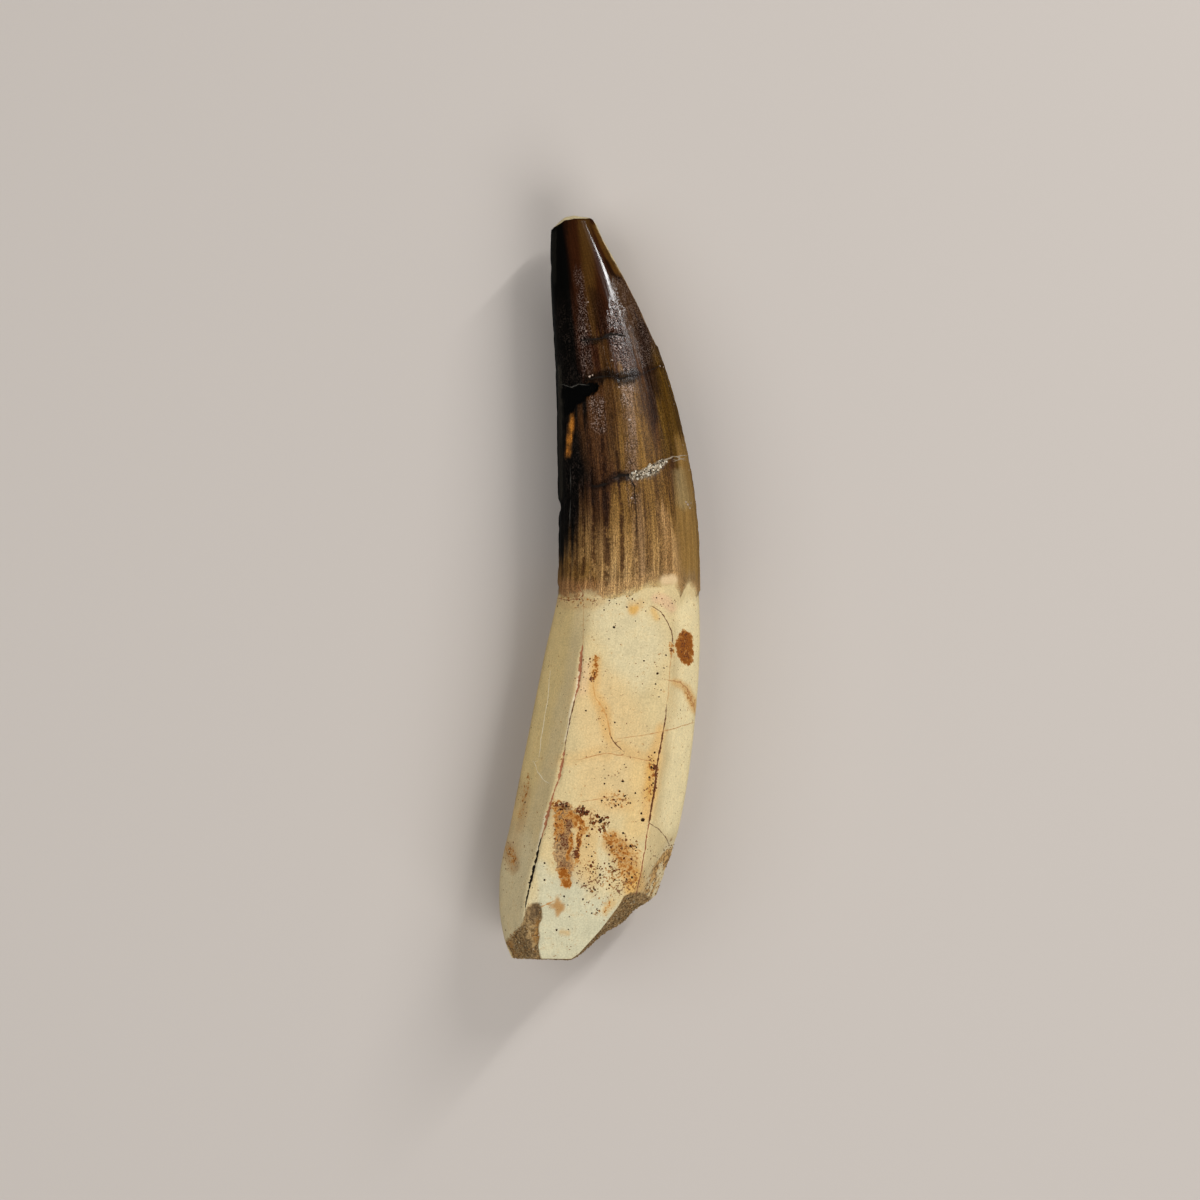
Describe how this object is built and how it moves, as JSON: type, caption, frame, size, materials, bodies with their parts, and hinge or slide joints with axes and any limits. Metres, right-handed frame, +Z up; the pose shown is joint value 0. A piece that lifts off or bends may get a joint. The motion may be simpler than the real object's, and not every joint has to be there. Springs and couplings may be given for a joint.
{
  "type": "fossil spinosaur tooth",
  "caption": "Curved fossil tooth of a spinosaur with a dark fluted crown, worn tip and broken pale root, lying on the flat facet of its root.",
  "frame": {"origin": "middle of the tooth's outline, on the surface that the flat facet of the root rests on", "axes": "+Y from the broken root towards the worn tip, +Z up and across the tooth's thickness, +X to the outer side of its curve"},
  "size_m": [0.0296, 0.1099, 0.0197],
  "materials": {
    "fossil_tooth": "satin"
  },
  "bodies": {
    "root": {"tooth": "fossil_tooth"}
  },
  "joints": []
}
